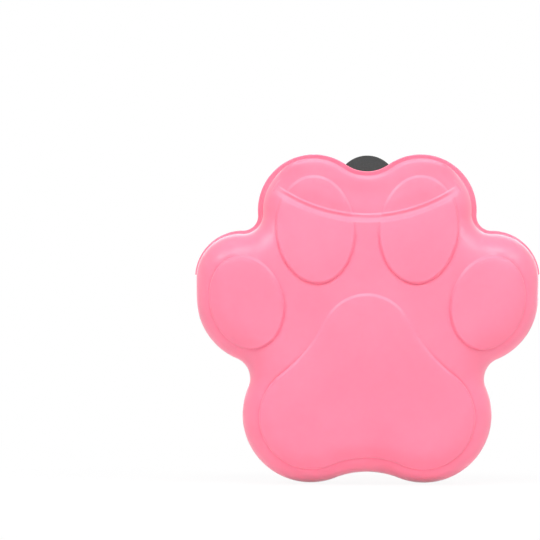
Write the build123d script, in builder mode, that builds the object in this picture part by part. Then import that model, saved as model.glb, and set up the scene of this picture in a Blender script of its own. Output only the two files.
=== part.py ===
from build123d import *
import math
import os

# Treat pouch: a hollow silicone paw with a folding mouth, carried on a spring belt clip.
# Millimetres. Seen from the front, X runs to the right and Z up; the front faces -Y.
# The origin is where a belt's top edge rests: on the clip plate's outer face, under its hinge.

# Silicone shell
body_depth = 36.0
wall = 2.0
edge_radius = 12.0
rim_radius = 1.2
pad_rise = 0.7

# Paw outline, about the paw's own centre: lobe centres (across, up) and radii
heel_center, heel_radius = (20.4, -35.4), 24.6
side_low_center, side_low_radius = (37.8, 6.7), 23.9
side_high_center, side_high_radius = (45.2, 13.8), 17.3
toe_center, toe_radius = (19.4, 38.5), 20.3
waist_radius, shoulder_radius, valley_radius, heel_valley_radius = 7.7, 5.4, 13.1, 31.0

# Mouth: a thin flange round the top, from the notch on one side toe to the other
flange_half = 1.8
flange_at_top = 2.0
flange_at_notch = 0.7
flange_edge_radius = 0.6
notch_height = 15.0
slit = 0.3

# Crease where each lip folds in: an arc, low in the middle
crease_low = 36.2
crease_radius = 56.2
crease_gap = 0.3
shelf_height = 2.0
throat_half = 11.7

# Lip panel: leans from the crease up and in to the flange
lip_depth_low = 14.0
lip_depth_high = 5.5
lip_rise = 20.6
lip_edge_radius = 3.2
lip_inner_radius = 1.4

# Raised pads, about the paw's centre: centre, semi-axes and lean
toe_pad = ((18.5, 31.5), (14.4, 19.8), 5.0)
side_pad = ((43.5, 5.3), (13.3, 17.2), 16.5)
main_pad_top_center, main_pad_top_radius = (0.0, -8.4), 16.7
main_pad_lobe_center, main_pad_lobe_radius = (20.0, -36.1), 18.9
main_pad_flank_radius, main_pad_valley_radius = 55.0, 31.0
lip_pad_share = 0.95
pad_stop = 1.8

# Closing magnets, in bosses behind the lip panels
magnet_radius, magnet_height = 5.0, 2.0
magnet_center = (19.4, 48.6)
magnet_clearance = 0.05
cap_radius, cap_height = 6.0, 1.0
boss_radius = 7.4

# Clip plate, screwed through the back wall to a plate inside
clip_plate = 2.2
plate_half_width, plate_foot_half_width = 10.6, 11.7
plate_low, plate_high = -44.7, 15.0
plate_edge_radius = 0.5
foot_height, foot_chamfer = 17.0, 3.6
paw_drop = 34.0
seat_margin = 1.2
screw_heights = (-6.0, -32.0)
post_radius, post_clearance = 3.5, 0.15
screw_radius, screw_clearance, screw_tip = 1.5, 0.05, 0.8
head_radius, head_height, head_rim, head_crown = 2.9, 1.9, 1.3, 5.8
recess_length, recess_width, recess_depth = 3.2, 0.7, 1.0
backing_width, backing_thickness, backing_margin = 16.0, 1.5, 5.5

# Clip hinge
pivot_y, pivot_z = 3.9, 7.0
pin_radius, pin_proud, pin_chamfer = 1.5, 0.7, 0.3
pin_fit, pin_run = 0.02, 0.05
ear_inner, ear_thickness, ear_radius, ear_foot = 7.3, 2.0, 3.3, 12.0
cheek_radius, cheek_gap, cheek_length = 3.4, 0.2, 13.6

# Clip arm
arm_half_width = 11.25
arm_low, arm_high = -47.6, 26.2
arm_inner, arm_thickness = 7.2, 2.8
bend_z, tab_lean = 11.1, 13.0
tab_thickness = 2.2
taper_length = 20.0
arm_edge_radius = 0.8
jaw_z, jaw_gap = -41.0, 0.35
jaw_start, jaw_radius, tip_inner, tip_outer = -18.0, 1.5, 2.6, 5.0
bend_radius = 12.0
scoop_top, scoop_low, scoop_half_width = -12.0, -41.4, 8.5
scoop_floor, scoop_corner = 4.9, 1.4
grip_grooves = ((2.9, 3.3), (6.2, 4.4), (9.1, 5.0))
grip_sag, grip_width, grip_depth = 1.0, 1.0, 0.6

# Torsion spring round the pin
wire_radius, coil_clearance, coil_pitch, coil_turns, leg_length = 0.6, 0.3, 1.72, 4.5, 8.0

# Planes and places worked out from those sizes
half = body_depth / 2
paw_span = 2 * (side_high_center[0] + side_high_radius)
mid_y = -(half + pad_rise + clip_plate)
mid_plane = Plane(origin=(0, mid_y, -paw_drop), x_dir=(1, 0, 0), z_dir=(0, -1, 0))
plate_plane = Plane(origin=(0, 0, 0), x_dir=(1, 0, 0), z_dir=(0, -1, 0))
seat_plane = plate_plane.offset(clip_plate)
side_plane = Plane(origin=(0, mid_y, -paw_drop), x_dir=(0, -1, 0), z_dir=(-1, 0, 0))
pocket_plane = Plane(origin=(0, mid_y - slit / 2, -paw_drop), x_dir=(-1, 0, 0), z_dir=(0, 1, 0))
seat_width = 2 * (plate_foot_half_width + seat_margin)
seat_height = crease_low - pad_stop - paw_drop - plate_low + seat_margin
screw_points = [(0, height) for height in screw_heights]
crease_center = (0, crease_low + crease_radius)
lip_radius = crease_radius - crease_gap
magnet_points = [magnet_center, (-magnet_center[0], magnet_center[1])]
cap_face = slit / 2
magnet_face = cap_face + cap_height + magnet_clearance
arm_outer = arm_inner + arm_thickness
overrun = 2.0
tab_end, tip_end = arm_high + overrun, arm_low - overrun
tab_rise = arm_high - bend_z
tab_top = arm_outer + (tab_end - bend_z) * math.tan(math.radians(tab_lean))
tab_inner = tab_top - tab_thickness
cheek_thickness = arm_half_width - ear_inner - ear_thickness - cheek_gap
post_length = pad_rise + wall
backing_plane = seat_plane.offset(post_length)
backing_height = screw_heights[0] - screw_heights[1] + 2 * backing_margin
head_face = -(clip_plate + post_length + backing_thickness)
arm_width = 2 * arm_half_width
straight_length = arm_high - arm_half_width - arm_low - taper_length
coil_reach = pin_radius + coil_clearance + wire_radius
spring_plane = Plane(
    origin=(-coil_pitch * coil_turns / 2, pivot_y, pivot_z),
    x_dir=(0, -1, 0),
    z_dir=(1, 0, 0),
)
tab_plane = Plane(
    origin=(0, arm_outer, bend_z),
    x_dir=(-1, 0, 0),
    z_dir=(0, math.cos(math.radians(tab_lean)), -math.sin(math.radians(tab_lean))),
)


def tangent_join(first, second, radius):
    """Points where two lobes meet their join, and the join's centre (None for a straight line)."""
    (c1, r1), (c2, r2) = first, second
    c1, c2 = Vector(*c1), Vector(*c2)
    gap = c2 - c1
    heading = math.atan2(gap.Y, gap.X)
    if radius is None:
        turn = heading - math.acos((r1 - r2) / gap.length)
        normal = Vector(math.cos(turn), math.sin(turn))
        return c1 + normal * r1, c2 + normal * r2, None
    a, b = r1 + radius, r2 + radius
    along = (a * a - b * b + gap.length**2) / (2 * gap.length)
    aside = math.sqrt(a * a - along * along)
    center = c1 + gap.normalized() * along + Vector(gap.Y, -gap.X).normalized() * aside
    return c1 + (center - c1) * (r1 / a), c2 + (center - c2) * (r2 / b), center


def draw_arc(center, radius, start, end, turn):
    """Arc from start to end about center, anticlockwise for turn 1 and clockwise for turn -1."""
    first = math.degrees(math.atan2(start.Y - center.Y, start.X - center.X))
    last = math.degrees(math.atan2(end.Y - center.Y, end.X - center.X))
    CenterArc((center.X, center.Y), radius, first, turn * ((turn * (last - first)) % 360))


def draw_lobes(lobes, joins):
    """Closed outline of convex lobes, joined by concave arcs or tangent lines."""
    touch = [tangent_join(lobes[k], lobes[(k + 1) % len(lobes)], joins[k]) for k in range(len(lobes))]
    for k, (center, radius) in enumerate(lobes):
        start, end, fillet_center = touch[k]
        draw_arc(Vector(*center), radius, touch[k - 1][1], start, 1)
        if fillet_center is None:
            Line(start, end)
        else:
            draw_arc(fillet_center, joins[k], start, end, -1)


def mirrored(lobes):
    """Right-hand lobes, listed upwards, followed by their left-hand twins, listed downwards."""
    return lobes + [((-x, y), r) for (x, y), r in reversed(lobes)]


def draw_paw():
    """Outer outline of the paw with its flange."""
    right = [
        (heel_center, heel_radius),
        (side_low_center, side_low_radius),
        (side_high_center, side_high_radius),
        (toe_center, toe_radius),
    ]
    rising = [waist_radius, None, shoulder_radius]
    draw_lobes(mirrored(right), rising + [valley_radius] + rising[::-1] + [heel_valley_radius])


def draw_bulge(inset=0.0):
    """Outline of the hollow body inside the flange, moved inwards by inset."""
    mean = (flange_at_top + flange_at_notch) / 2
    shift = (flange_at_top - flange_at_notch) / 2
    right = [
        (heel_center, heel_radius - inset),
        (side_low_center, side_low_radius - inset),
        ((side_high_center[0] + shift, side_high_center[1]), side_high_radius - mean - inset),
        (toe_center, toe_radius - flange_at_top - inset),
    ]
    rising = [waist_radius + inset, None, shoulder_radius + flange_at_top + inset]
    valley = valley_radius + flange_at_top + inset
    draw_lobes(mirrored(right), rising + [valley] + rising[::-1] + [heel_valley_radius + inset])


def draw_main_pad():
    """Three-lobed outline of the large raised pad."""
    lobes = [
        (main_pad_lobe_center, main_pad_lobe_radius),
        (main_pad_top_center, main_pad_top_radius),
        ((-main_pad_lobe_center[0], main_pad_lobe_center[1]), main_pad_lobe_radius),
    ]
    draw_lobes(lobes, [main_pad_flank_radius, main_pad_flank_radius, main_pad_valley_radius])


def pad_ellipses(pad, share=1.0):
    """The pad's ellipse on the right and its twin on the left, leaning outwards."""
    (x, y), (a, b), lean = pad
    for side in (1, -1):
        with Locations(Location((side * x, y, 0), (0, 0, -side * lean))):
            Ellipse(a * share, b)


def draw_lip_side(inset=0.0):
    """Side view of a lip's panel: from the middle of the pouch out to the leaning face, less inset."""
    lean = math.atan2(lip_depth_low - lip_depth_high, lip_rise)
    depth = lip_depth_low - inset / math.cos(lean)
    inner = slit / 2 - max(inset, 0)
    low, high = crease_low - overrun, toe_center[1] + toe_radius + overrun
    Polyline(
        (inner, low),
        (depth + (crease_low - low) * math.tan(lean), low),
        (depth + (crease_low - high) * math.tan(lean), high),
        (inner, high),
        close=True,
    )


def leaning_edges(part):
    """Edges of the leaning face of a front lip, apart from the one along the crease."""
    faces = part.faces().filter_by(GeomType.PLANE).sort_by(Axis.Y)
    return faces[0].edges().sort_by(Axis.Z)[1:]


# Paw grown by the pads' rise, kept only where a pad stands
with BuildPart() as pad_form:
    with BuildSketch(mid_plane):
        with BuildLine():
            draw_bulge(-pad_rise)
        make_face()
    extrude(amount=half + pad_rise, both=True)
    fillet(pad_form.faces().group_by(Axis.Y)[0].edges(), radius=edge_radius + pad_rise)
    fillet(pad_form.faces().group_by(Axis.Y)[-1].edges(), radius=edge_radius + pad_rise)
    with BuildSketch(mid_plane):
        pad_ellipses(toe_pad)
        with Locations(crease_center):
            Circle(crease_radius + pad_stop, mode=Mode.SUBTRACT)
        pad_ellipses(side_pad)
        with BuildLine():
            draw_main_pad()
        make_face()
    extrude(amount=body_depth, both=True, mode=Mode.INTERSECT)

# Hollow inside the body: narrower between the two shelves that carry the lips
with BuildPart() as cavity:
    with BuildSketch(mid_plane):
        with BuildLine():
            draw_bulge(wall)
        make_face()
    extrude(amount=half - wall, both=True)
    fillet(cavity.faces().group_by(Axis.Y)[0].edges(), radius=edge_radius - wall)
    fillet(cavity.faces().group_by(Axis.Y)[-1].edges(), radius=edge_radius - wall)
    for side in (1, -1):
        with BuildSketch(mid_plane.offset(side * throat_half)):
            with Locations(crease_center):
                Circle(crease_radius + shelf_height)
        extrude(amount=side * half, mode=Mode.SUBTRACT)

# Flange plate with softened edges
with BuildPart() as flange:
    with BuildSketch(mid_plane):
        with BuildLine():
            draw_paw()
        make_face()
    extrude(amount=slit / 2 + flange_half, both=True)
    fillet(flange.faces().group_by(Axis.Y)[0].edges(), radius=flange_edge_radius)
    fillet(flange.faces().group_by(Axis.Y)[-1].edges(), radius=flange_edge_radius)
    with BuildSketch(mid_plane):
        with Locations((0, notch_height)):
            Rectangle(2 * paw_span, 2 * paw_span, align=(Align.CENTER, Align.MAX))
    extrude(amount=body_depth, both=True, mode=Mode.SUBTRACT)

# Body: both walls and the folded-in shelves, split by the mouth slit down to the notches
with BuildPart() as pouch_body:
    with BuildSketch(mid_plane):
        with BuildLine():
            draw_bulge()
        make_face()
    extrude(amount=half, both=True)
    fillet(pouch_body.faces().group_by(Axis.Y)[0].edges(), radius=edge_radius)
    fillet(pouch_body.faces().group_by(Axis.Y)[-1].edges(), radius=edge_radius)
    with BuildSketch(mid_plane):
        with Locations(crease_center):
            Circle(crease_radius)
    extrude(amount=body_depth, both=True, mode=Mode.SUBTRACT)
    crease_faces = pouch_body.faces().filter_by(GeomType.CYLINDER)
    crease_face = crease_faces.filter_by(lambda f: abs(f.radius - crease_radius) < 0.01)
    fillet(crease_face.edges(), radius=rim_radius)
    add(flange.part)
    add(pad_form.part)
    with BuildSketch(seat_plane):
        with Locations((0, plate_low - seat_margin)):
            RectangleRounded(seat_width, seat_height, foot_chamfer, align=(Align.CENTER, Align.MIN))
    extrude(amount=half)
    with BuildSketch(mid_plane):
        with Locations(crease_center):
            Circle(crease_radius)
    extrude(amount=body_depth, both=True, mode=Mode.SUBTRACT)
    add(cavity.part, mode=Mode.SUBTRACT)
    with BuildSketch(mid_plane):
        with Locations((0, notch_height)):
            Rectangle(2 * paw_span, 2 * paw_span, align=(Align.CENTER, Align.MIN))
    extrude(amount=slit / 2, both=True, mode=Mode.SUBTRACT)
    with BuildSketch(seat_plane):
        with Locations(*screw_points):
            Circle(post_radius + post_clearance)
    extrude(amount=half, mode=Mode.SUBTRACT)

# Upper parts of the toe pads, which carry on over the lip
with BuildPart() as lip_pads:
    with BuildSketch(mid_plane):
        pad_ellipses(toe_pad, lip_pad_share)
        with Locations(crease_center):
            Circle(lip_radius, mode=Mode.INTERSECT)
    extrude(amount=half)
    with BuildSketch(side_plane):
        with BuildLine():
            draw_lip_side(-pad_rise)
        make_face()
    extrude(amount=paw_span, both=True, mode=Mode.INTERSECT)

# Inside of a lip, less the bosses that hold its magnets
with BuildPart() as lip_hollow:
    with BuildSketch(mid_plane):
        with BuildLine():
            draw_bulge(wall)
        make_face()
        with Locations(crease_center):
            Circle(lip_radius, mode=Mode.INTERSECT)
    extrude(amount=half)
    with BuildSketch(side_plane):
        with BuildLine():
            draw_lip_side(wall)
        make_face()
    extrude(amount=paw_span, both=True, mode=Mode.INTERSECT)
    fillet(leaning_edges(lip_hollow), radius=lip_inner_radius)
    with BuildSketch(mid_plane):
        with Locations(*magnet_points):
            Circle(boss_radius)
    extrude(amount=half, mode=Mode.SUBTRACT)

# Front lip: leaning panel, side wall, flange and the two magnet pockets
with BuildPart() as front_lip:
    with BuildSketch(mid_plane.offset(slit / 2)):
        with BuildLine():
            draw_bulge()
        make_face()
        with Locations(crease_center):
            Circle(lip_radius, mode=Mode.INTERSECT)
    extrude(amount=half)
    with BuildSketch(side_plane):
        with BuildLine():
            draw_lip_side()
        make_face()
    extrude(amount=paw_span, both=True, mode=Mode.INTERSECT)
    fillet(leaning_edges(front_lip), radius=lip_edge_radius)
    with BuildSketch(mid_plane):
        with Locations(crease_center):
            Circle(lip_radius)
    lip_flange = extrude(amount=half, mode=Mode.PRIVATE) & flange.part
    add(lip_flange)
    add(lip_pads.part)
    add(lip_hollow.part, mode=Mode.SUBTRACT)
    with BuildSketch(mid_plane):
        Rectangle(2 * paw_span, 2 * paw_span)
    extrude(amount=slit / 2, mode=Mode.SUBTRACT)
    with Locations(pocket_plane):
        with Locations(*magnet_points):
            CounterBoreHole(
                magnet_radius + magnet_clearance,
                cap_radius + magnet_clearance,
                cap_height + magnet_clearance,
                cap_height + magnet_height + 3 * magnet_clearance,
            )

with BuildPart() as back_lip:
    mirror(front_lip.part, about=mid_plane)

# Plate of the belt clip: foot, hinge ears and the posts that pass through the back wall
with BuildPart() as clip_base:
    with BuildSketch(plate_plane):
        with Locations((0, plate_high)):
            RectangleRounded(
                2 * plate_half_width,
                plate_high - plate_low - foot_chamfer,
                foot_chamfer,
                align=(Align.CENTER, Align.MAX),
            )
        with Locations((0, plate_low)):
            foot = Rectangle(2 * plate_foot_half_width, foot_height, align=(Align.CENTER, Align.MIN))
        chamfer(foot.vertices().group_by(Axis.Y)[0], foot_chamfer)
    extrude(amount=clip_plate)
    fillet(clip_base.faces().sort_by(Axis.Y)[-1].edges(), radius=plate_edge_radius)
    for x in (ear_inner, -ear_inner - ear_thickness):
        with BuildSketch(Plane.YZ.offset(x)):
            with Locations((pivot_y, pivot_z)):
                Circle(ear_radius)
            with Locations((-clip_plate / 2, 0)):
                Rectangle(clip_plate, ear_foot, align=(Align.CENTER, Align.MIN))
            make_hull()
        extrude(amount=ear_thickness)
    with BuildSketch(Plane.YZ):
        with Locations((pivot_y, pivot_z)):
            Circle(pin_radius + pin_fit)
    extrude(amount=arm_half_width, both=True, mode=Mode.SUBTRACT)
    with BuildSketch(seat_plane):
        with Locations(*screw_points):
            Circle(post_radius)
    extrude(amount=post_length)
    with BuildSketch(seat_plane.offset(post_length)):
        with Locations(*screw_points):
            Circle(screw_radius + screw_clearance)
    extrude(amount=screw_tip - post_length - clip_plate, mode=Mode.SUBTRACT)

# Scoop in the lower half of the arm: a floor that slopes in from the flush top end
scoop_slope = math.atan2(arm_outer - scoop_floor, scoop_top - scoop_low)
scoop_plane = Plane(
    origin=(0, arm_outer, scoop_top),
    x_dir=(-1, 0, 0),
    z_dir=(0, math.cos(scoop_slope), -math.sin(scoop_slope)),
)
with BuildPart() as scoop:
    with BuildSketch(scoop_plane):
        Ellipse(scoop_half_width, (scoop_top - scoop_low) / math.cos(scoop_slope))
    extrude(amount=arm_outer)
    fillet(scoop.faces().sort_by(Axis.Y)[0].edges(), radius=scoop_corner)

# Arm of the belt clip: thumb tab, straight middle, and a lower end that curves in to the jaw
with BuildPart() as clip_arm:
    with BuildSketch(Plane.YZ) as side_view:
        with BuildLine():
            Polyline((tab_inner, tab_end), (tab_top, tab_end), (arm_outer, bend_z), (arm_outer, scoop_top))
            TangentArc((arm_outer, scoop_top), (tip_outer, tip_end), tangent=(0, -1))
            Polyline((tip_outer, tip_end), (tip_inner, tip_end), (jaw_gap, jaw_z))
            TangentArc((arm_inner, jaw_start), (jaw_gap, jaw_z), tangent=(0, -1))
            Polyline((arm_inner, jaw_start), (arm_inner, bend_z), (tab_inner, tab_end))
        make_face()
        corners = side_view.vertices()
        bends = [corners.sort_by_distance((y, bend_z))[0] for y in (arm_inner, arm_outer)]
        fillet(bends, radius=bend_radius)
        fillet(side_view.vertices().sort_by_distance((jaw_gap, jaw_z))[0], radius=jaw_radius)
    extrude(amount=arm_half_width, both=True)
    with BuildSketch(Plane.XZ):
        with Locations((0, arm_high - arm_half_width)):
            Circle(arm_half_width)
        with Locations((0, arm_low + taper_length)):
            Ellipse(arm_half_width, taper_length)
            Rectangle(arm_width, straight_length, align=(Align.CENTER, Align.MIN))
    extrude(amount=arm_width, both=True, mode=Mode.INTERSECT)
    outer_faces = clip_arm.faces().filter_by(lambda f: f.normal_at().Y > abs(f.normal_at().Z))
    outer_faces = outer_faces.filter_by(lambda f: f.normal_at().Y > abs(f.normal_at().X))
    fillet(outer_faces.edges().filter_by(Axis.X, reverse=True), radius=arm_edge_radius)
    for x in (arm_half_width - cheek_thickness, -arm_half_width):
        with BuildSketch(Plane.YZ.offset(x)):
            with Locations((pivot_y, pivot_z)):
                Circle(cheek_radius)
            with Locations((arm_inner, pivot_z)):
                Rectangle(arm_thickness, cheek_length)
            make_hull()
        extrude(amount=cheek_thickness)
    with BuildSketch(Plane.YZ):
        with Locations((pivot_y, pivot_z)):
            Circle(pin_radius + pin_run)
    extrude(amount=arm_width, both=True, mode=Mode.SUBTRACT)
    add(scoop.part, mode=Mode.SUBTRACT)
    with BuildSketch(tab_plane):
        for drop, half_width in grip_grooves:
            height = tab_rise / math.cos(math.radians(tab_lean)) - drop
            with BuildLine():
                ends = (-half_width, height - grip_sag), (half_width, height - grip_sag)
                ThreePointArc(ends[0], (0, height + grip_width / 2), ends[1])
                ThreePointArc(ends[1], (0, height - grip_width / 2), ends[0])
            make_face()
    extrude(amount=-grip_depth, mode=Mode.SUBTRACT)

# Steel hinge pin, a little proud of the arm's cheeks
with BuildPart() as hinge_pin:
    with Locations(Location((0, pivot_y, pivot_z), (0, 90, 0))):
        Cylinder(pin_radius, arm_width + 2 * pin_proud)
    chamfer(hinge_pin.edges().filter_by(GeomType.CIRCLE), length=pin_chamfer)

# Torsion spring: an open coil round the pin, with a leg on the plate and a leg under the thumb tab
with BuildPart() as spring_coil:
    with BuildLine() as spring_line:
        coil = Helix(coil_pitch, coil_pitch * coil_turns, coil_reach)
        Line(coil @ 0, coil @ 0 - (coil % 0) * leg_length)
        Line(coil @ 1, coil @ 1 + (coil % 1) * leg_length)
    with BuildSketch(Plane(origin=coil @ 0 - (coil % 0) * leg_length, z_dir=coil % 0)):
        Circle(wire_radius)
    sweep(path=spring_line.wire())

# Plate inside the pouch that the screws pull against the wall
with BuildPart() as backing_plate:
    with BuildSketch(backing_plane):
        with Locations((0, sum(screw_heights) / 2)):
            RectangleRounded(backing_width, backing_height, backing_margin)
        with Locations(*screw_points):
            Circle(screw_radius + screw_clearance, mode=Mode.SUBTRACT)
    extrude(amount=backing_thickness)

with BuildPart() as torsion_spring:
    with Locations(spring_plane):
        add(spring_coil.part)


def least_gap(line, samples=600):
    """Least gap between two stretches of a wire that lie more than half a turn apart along its line."""
    points = [line @ (k / samples) for k in range(samples + 1)]
    skip = math.ceil(samples * math.pi * coil_reach / line.length)
    pairs = ((p, q) for k, p in enumerate(points) for q in points[k + skip :])
    return min((p - q).length for p, q in pairs) - 2 * wire_radius


print(f"Least gap of the spring wire to itself: {least_gap(spring_line.wire()):.2f} mm")


def screw(height):
    """Pan-head screw at this height, driven from inside the pouch into a post of the clip plate."""
    with BuildPart() as built:
        with BuildSketch(Plane.XY.offset(height)):
            with BuildLine():
                crown = (0, head_face - head_height)
                rim = (head_radius, head_face - head_height + head_rim)
                RadiusArc(crown, rim, -head_crown)
                Polyline(
                    rim,
                    (head_radius, head_face),
                    (screw_radius, head_face),
                    (screw_radius, -screw_tip - screw_radius),
                    (screw_radius / 2, -screw_tip - screw_clearance),
                    (0, -screw_tip - screw_clearance),
                    crown,
                )
            make_face()
        revolve(axis=Axis((0, 0, height), (0, 1, 0)))
        with BuildSketch(plate_plane.offset(head_height - head_face)):
            with Locations((0, height)):
                Rectangle(recess_length, recess_width)
                Rectangle(recess_width, recess_length)
        extrude(amount=-recess_depth, mode=Mode.SUBTRACT)
    return built


def disc(point, inner, height, radius, side):
    """Round disc in a lip, between two depths from the middle of the pouch; side 1 is the front."""
    with BuildPart() as built:
        with BuildSketch(mid_plane.offset(side * inner)):
            with Locations(point):
                Circle(radius)
        extrude(amount=side * height)
    return built


pieces = {
    "pouch_body": pouch_body,
    "front_lip": front_lip,
    "back_lip": back_lip,
    "clip_base": clip_base,
    "clip_arm": clip_arm,
    "hinge_pin": hinge_pin,
    "torsion_spring": torsion_spring,
    "backing_plate": backing_plate,
    "upper_screw": screw(screw_heights[0]),
    "lower_screw": screw(screw_heights[1]),
}
for face, side in (("front", 1), ("back", -1)):
    for hand, point in zip(("right", "left"), magnet_points):
        pieces[f"{face}_{hand}_magnet"] = disc(point, magnet_face, magnet_height, magnet_radius, side)
        pieces[f"{face}_{hand}_magnet_cap"] = disc(point, cap_face, cap_height, cap_radius, side)

os.makedirs("parts", exist_ok=True)
for name, piece in pieces.items():
    piece.part.label = name
    export_step(piece.part, f"parts/{name}.step")
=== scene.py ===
"""Dog treat pouch: a folding silicone paw on a spring belt clip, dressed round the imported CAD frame."""

import logging
import math
from collections.abc import Callable, Sequence
from dataclasses import dataclass, field
from enum import Enum

import bmesh
import bpy
import numpy as np
from mathutils import Matrix, Quaternion, Vector
from mathutils.geometry import delaunay_2d_cdt
from mathutils.kdtree import KDTree


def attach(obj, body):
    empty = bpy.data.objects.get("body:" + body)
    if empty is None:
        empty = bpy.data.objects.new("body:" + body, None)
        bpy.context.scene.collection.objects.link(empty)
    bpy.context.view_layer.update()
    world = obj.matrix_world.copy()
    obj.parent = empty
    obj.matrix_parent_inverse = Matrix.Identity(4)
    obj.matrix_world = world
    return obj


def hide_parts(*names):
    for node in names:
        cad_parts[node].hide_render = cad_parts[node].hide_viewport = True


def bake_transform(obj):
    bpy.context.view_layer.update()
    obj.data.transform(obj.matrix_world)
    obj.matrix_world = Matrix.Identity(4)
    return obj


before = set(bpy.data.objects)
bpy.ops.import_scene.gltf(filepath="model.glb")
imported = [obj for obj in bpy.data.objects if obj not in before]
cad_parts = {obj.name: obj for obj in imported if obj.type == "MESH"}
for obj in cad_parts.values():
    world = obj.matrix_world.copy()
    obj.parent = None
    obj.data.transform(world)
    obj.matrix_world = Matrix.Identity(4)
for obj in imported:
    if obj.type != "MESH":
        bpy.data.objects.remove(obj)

LOG = logging.getLogger("treat_pouch")
MM = 0.001

Points = np.ndarray
Piece = bpy.types.Object
Socket = bpy.types.NodeSocket
Material = bpy.types.Material
Color = tuple[float, float, float]
Span = tuple[float, float]
Profile = list[tuple[float, float]]
Inputs = dict[str | int, object]


class Side(Enum):
    """The two halves of the pouch, each with its sign along the depth and its body in the frame."""

    FRONT = (1, "front_mouth", "front")
    BACK = (-1, "back_mouth", "back")

    @property
    def sign(self) -> int:
        """Plus one for the front, minus one for the back."""
        return self.value[0]

    @property
    def mouth(self) -> str:
        """Body that carries this half's lip."""
        return self.value[1]

    @property
    def word(self) -> str:
        """Plain word for piece names."""
        return self.value[2]


class Slot(Enum):
    """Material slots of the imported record."""

    SILICONE = "silicone"
    PLASTIC = "clip_plastic"
    PIN = "pin_steel"
    SPRING = "spring_steel"
    SCREW = "screw_steel"
    MAGNET = "magnet"


def smooth(share: Points) -> Points:
    """Smooth step of a share, held between 0 and 1.

    Args:
        share: Any numbers.

    Returns:
        0 below 0, 1 above 1, and a soft ramp between them.
    """
    held = np.clip(share, 0.0, 1.0)
    return held * held * (3.0 - 2.0 * held)


def ramp(share: Points, bend: float = 0.2) -> Points:
    """Straight rise from 0 to 1 with a short bend at each end.

    Args:
        share: Any numbers; 0 is the foot and 1 the top.
        bend: Length of each bend.

    Returns:
        The height.
    """
    held = np.clip(share, 0.0, 1.0)
    low = held**2 / (2.0 * bend)
    high = 1.0 - bend - (1.0 - held) ** 2 / (2.0 * bend)
    straight = held - bend / 2.0
    return np.where(held < bend, low, np.where(held > 1.0 - bend, high, straight)) / (1.0 - bend)


@dataclass(frozen=True)
class Fade:
    """Rise of a share from 0 at start to 1 over reach."""

    start: float
    reach: float

    def soft(self, value: Points) -> Points:
        """Share at each value, with a soft rise."""
        return smooth((value - self.start) / self.reach)

    def straight(self, value: Points) -> Points:
        """Share at each value, with a straight rise."""
        return ramp((value - self.start) / self.reach)


# Plane curves of the paw, in millimetres about its centre


@dataclass(frozen=True)
class Lobe:
    """Round lobe of an outline."""

    x: float
    y: float
    radius: float

    @property
    def center(self) -> Points:
        """The lobe's centre."""
        return np.array([self.x, self.y])

    def twin(self) -> "Lobe":
        """The same lobe on the other side."""
        return Lobe(-self.x, self.y, self.radius)


def tree_of(points: Points) -> KDTree:
    """Search tree over plane points.

    Args:
        points: The points.

    Returns:
        The balanced tree.
    """
    tree = KDTree(len(points))
    for index, (x, y) in enumerate(points):
        tree.insert((x, y, 0.0), index)
    tree.balance()
    return tree


def within(points: Points, loop: Points) -> Points:
    """Says which points lie inside a closed loop of plane points.

    Args:
        points: Points to test.
        loop: The loop's corners in order.

    Returns:
        True for each point inside.
    """
    found = np.zeros(len(points), bool)
    for (ax, ay), (bx, by) in zip(loop, np.roll(loop, -1, axis=0)):
        crosses = (ay > points[:, 1]) != (by > points[:, 1])
        if ay != by:
            found ^= crosses & (points[:, 0] < ax + (bx - ax) * (points[:, 1] - ay) / (by - ay))
    return found


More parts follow.
